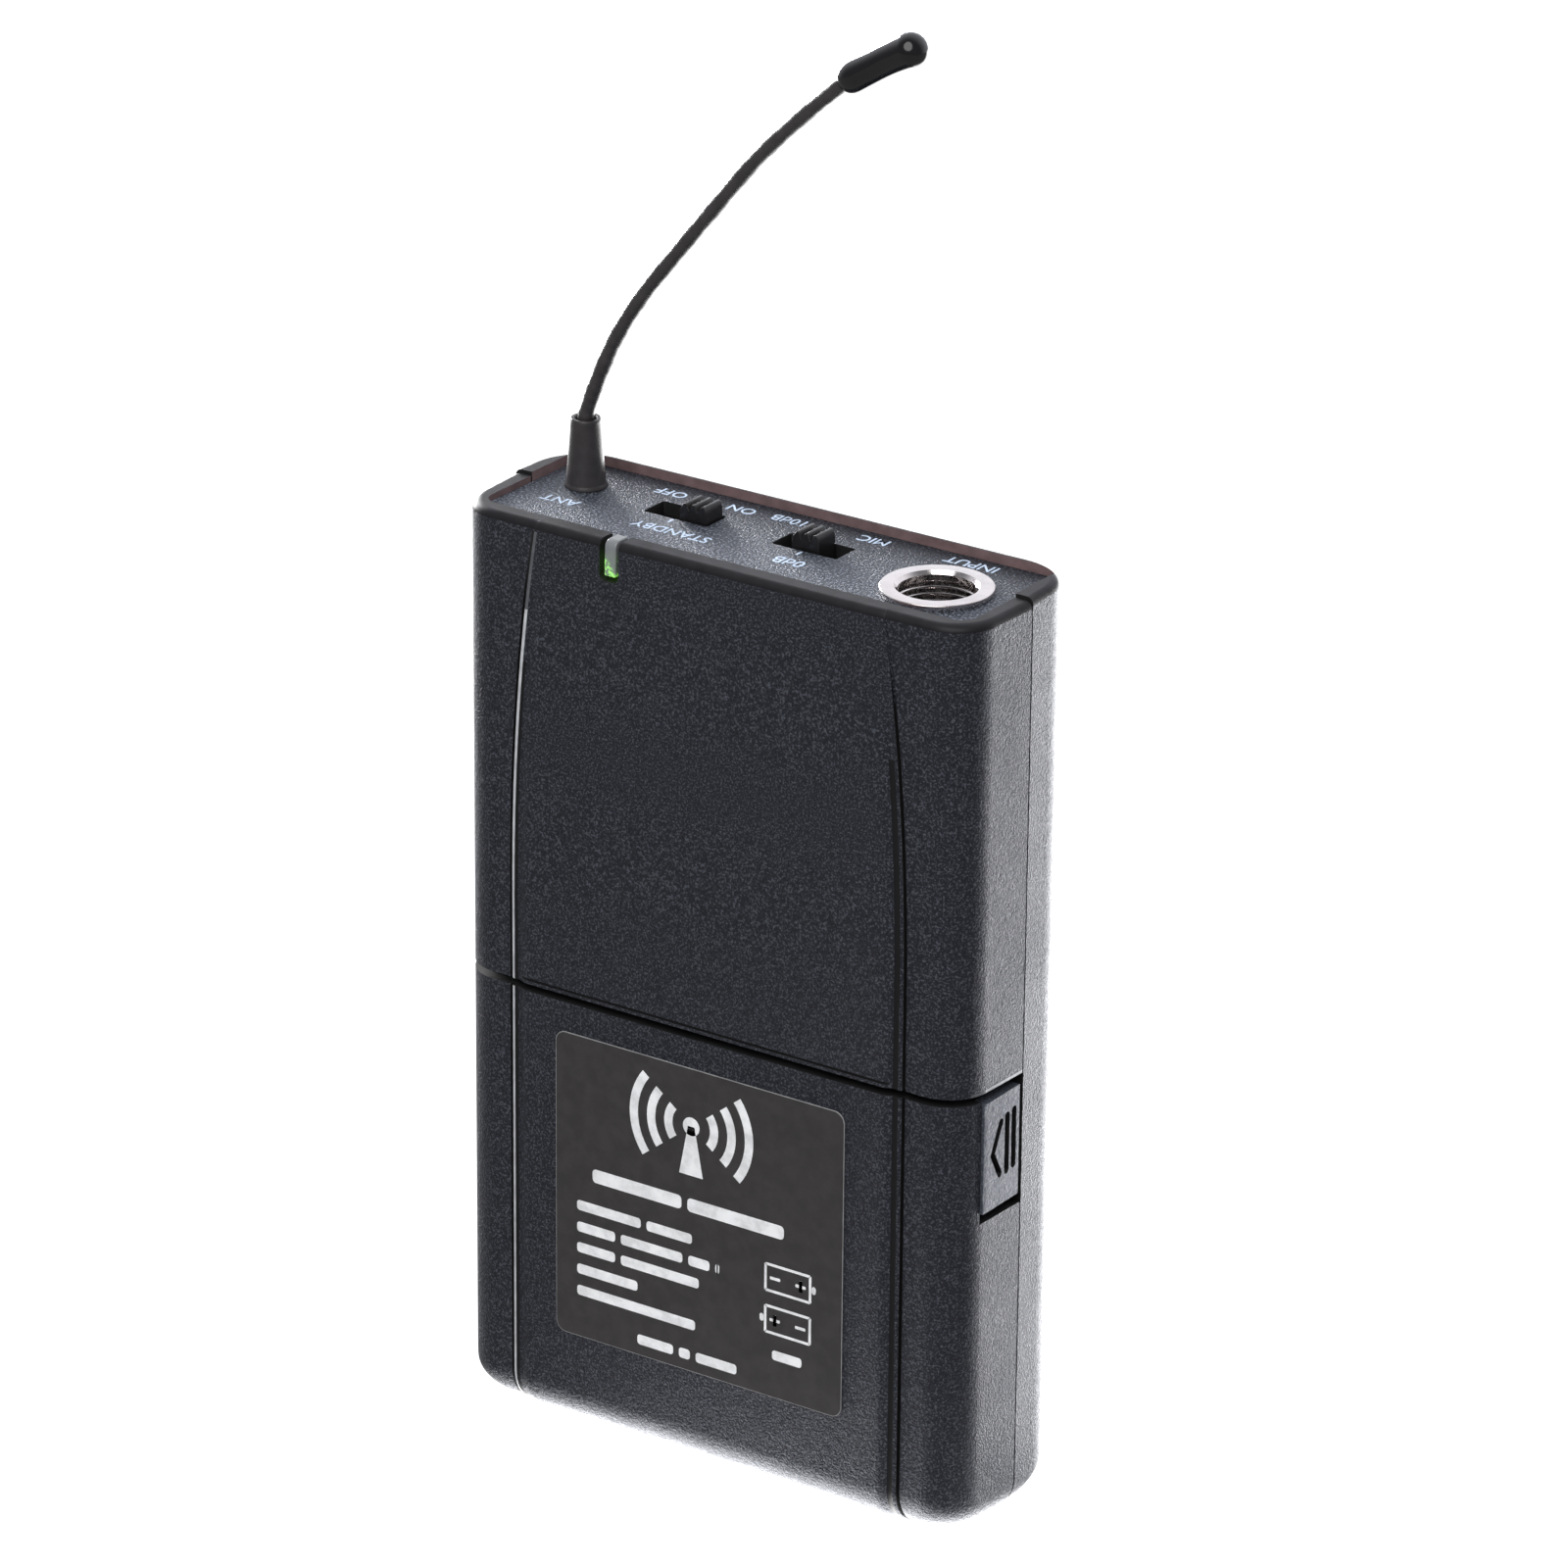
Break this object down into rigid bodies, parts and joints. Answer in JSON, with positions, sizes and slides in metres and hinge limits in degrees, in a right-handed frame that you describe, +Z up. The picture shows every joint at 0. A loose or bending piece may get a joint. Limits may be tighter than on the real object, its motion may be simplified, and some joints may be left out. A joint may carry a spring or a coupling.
{
  "type": "wireless bodypack transmitter",
  "caption": "Belt-worn wireless microphone transmitter with hinged battery door, slide switches, threaded jack socket, whip antenna and sprung belt clip.",
  "frame": {"origin": "under the middle of the whole object's box, on the surface it stands on", "axes": "+Z up; the labelled front faces -Y; +X is to the right seen from the front"},
  "size_m": [0.064, 0.0292, 0.1575],
  "materials": {
    "case_plastic": "fine spark-eroded matt",
    "plate_plastic": "coarse spark-eroded matt",
    "knob_plastic": "satin",
    "label_film": "satin film",
    "antenna_rubber": "satin",
    "antenna_cap": "gloss",
    "nickel": "nickel plated",
    "spring_steel": "satin",
    "clip_steel": "black painted",
    "brass": "plain",
    "clear_pipe": "clear, lit green from behind",
    "lamp": "lit green",
    "board_green": "solder mask",
    "chip_black": "moulded",
    "cell_wrap": "printed film",
    "tray_plastic": "moulded"
  },
  "bodies": {
    "case": {"back_shell": "case_plastic", "front_shell": "case_plastic", "top_plate": "plate_plastic", "light_pipe": "clear_pipe", "status_led": "lamp", "door_hinge_pin": "spring_steel", "battery_tray": "tray_plastic", "battery_cell_upper": "cell_wrap", "battery_cell_lower": "cell_wrap", "contact_spring_upper": "nickel", "contact_spring_lower": "nickel", "contact_bridge": "nickel", "contact_plate_lower": "nickel", "contact_plate_upper": "nickel", "main_board": "board_green", "control_board": "board_green", "rf_shield_can": "nickel", "oscillator_crystal": "nickel", "processor_chip": "chip_black", "audio_chip": "chip_black", "board_connector": "tray_plastic", "power_inductor": "chip_black", "capacitor_left": "spring_steel", "capacitor_right": "spring_steel", "board_screw_left": "spring_steel", "board_screw_right": "spring_steel", "case_screw_lower_left": "spring_steel", "case_screw_lower_right": "spring_steel", "case_screw_upper_left": "spring_steel", "case_screw_upper_right": "spring_steel", "power_switch_body": "spring_steel", "gain_switch_body": "spring_steel", "socket_ring": "nickel", "socket_body": "tray_plastic", "socket_sleeve": "nickel", "antenna_boot": "antenna_rubber", "antenna_ferrule": "brass", "antenna_lead": "chip_black", "clip_bracket": "clip_steel", "clip_pin": "spring_steel", "clip_screw_left": "spring_steel", "clip_screw_right": "spring_steel", "clip_spring": "spring_steel"},
    "door": {"battery_door": "case_plastic", "door_label": "label_film", "catch_spring_left": "spring_steel", "catch_spring_right": "spring_steel"},
    "catch_left": {"door_catch_left": "case_plastic"},
    "catch_right": {"door_catch_right": "case_plastic"},
    "power_knob": {"power_switch_knob": "knob_plastic"},
    "gain_knob": {"gain_switch_knob": "knob_plastic"},
    "antenna": {"antenna_whip": "antenna_rubber", "antenna_tip_cap": "antenna_cap"},
    "clip": {"clip_lever": "clip_steel"}
  },
  "joints": [
    {"name": "door_hinge", "type": "hinge", "parent": "case", "child": "door", "pos_m": [0, -0.00313, 0.0015], "axis": [1, 0, 0], "range_deg": [0, 80]},
    {"name": "catch_left_press", "type": "hinge", "parent": "door", "child": "catch_left", "pos_m": [-0.031, -0.00942, 0.04335], "axis": [0, 0, -1], "range_deg": [0, 8], "stiffness_Nm_per_rad": 0.05, "springref_deg": -2.86},
    {"name": "catch_right_press", "type": "hinge", "parent": "door", "child": "catch_right", "pos_m": [0.031, -0.00942, 0.04335], "axis": [0, 0, 1], "range_deg": [0, 8], "stiffness_Nm_per_rad": 0.05, "springref_deg": -2.86},
    {"name": "power_switch_slide", "type": "slide", "parent": "case", "child": "power_knob", "axis": [1, 0, 0], "range_m": [-0.004, 0]},
    {"name": "gain_switch_slide", "type": "slide", "parent": "case", "child": "gain_knob", "axis": [1, 0, 0], "range_m": [-0.002, 0.002]},
    {"name": "antenna_bend", "type": "hinge", "parent": "case", "child": "antenna", "pos_m": [-0.0246, -0.00082, 0.109], "axis": [0, 1, 0], "range_deg": [-15, 15], "stiffness_Nm_per_rad": 0.02},
    {"name": "clip_pivot", "type": "hinge", "parent": "case", "child": "clip", "pos_m": [0, 0.00978, 0.081], "axis": [1, 0, 0], "range_deg": [0, 9], "stiffness_Nm_per_rad": 0.3, "springref_deg": -11.46}
  ]
}
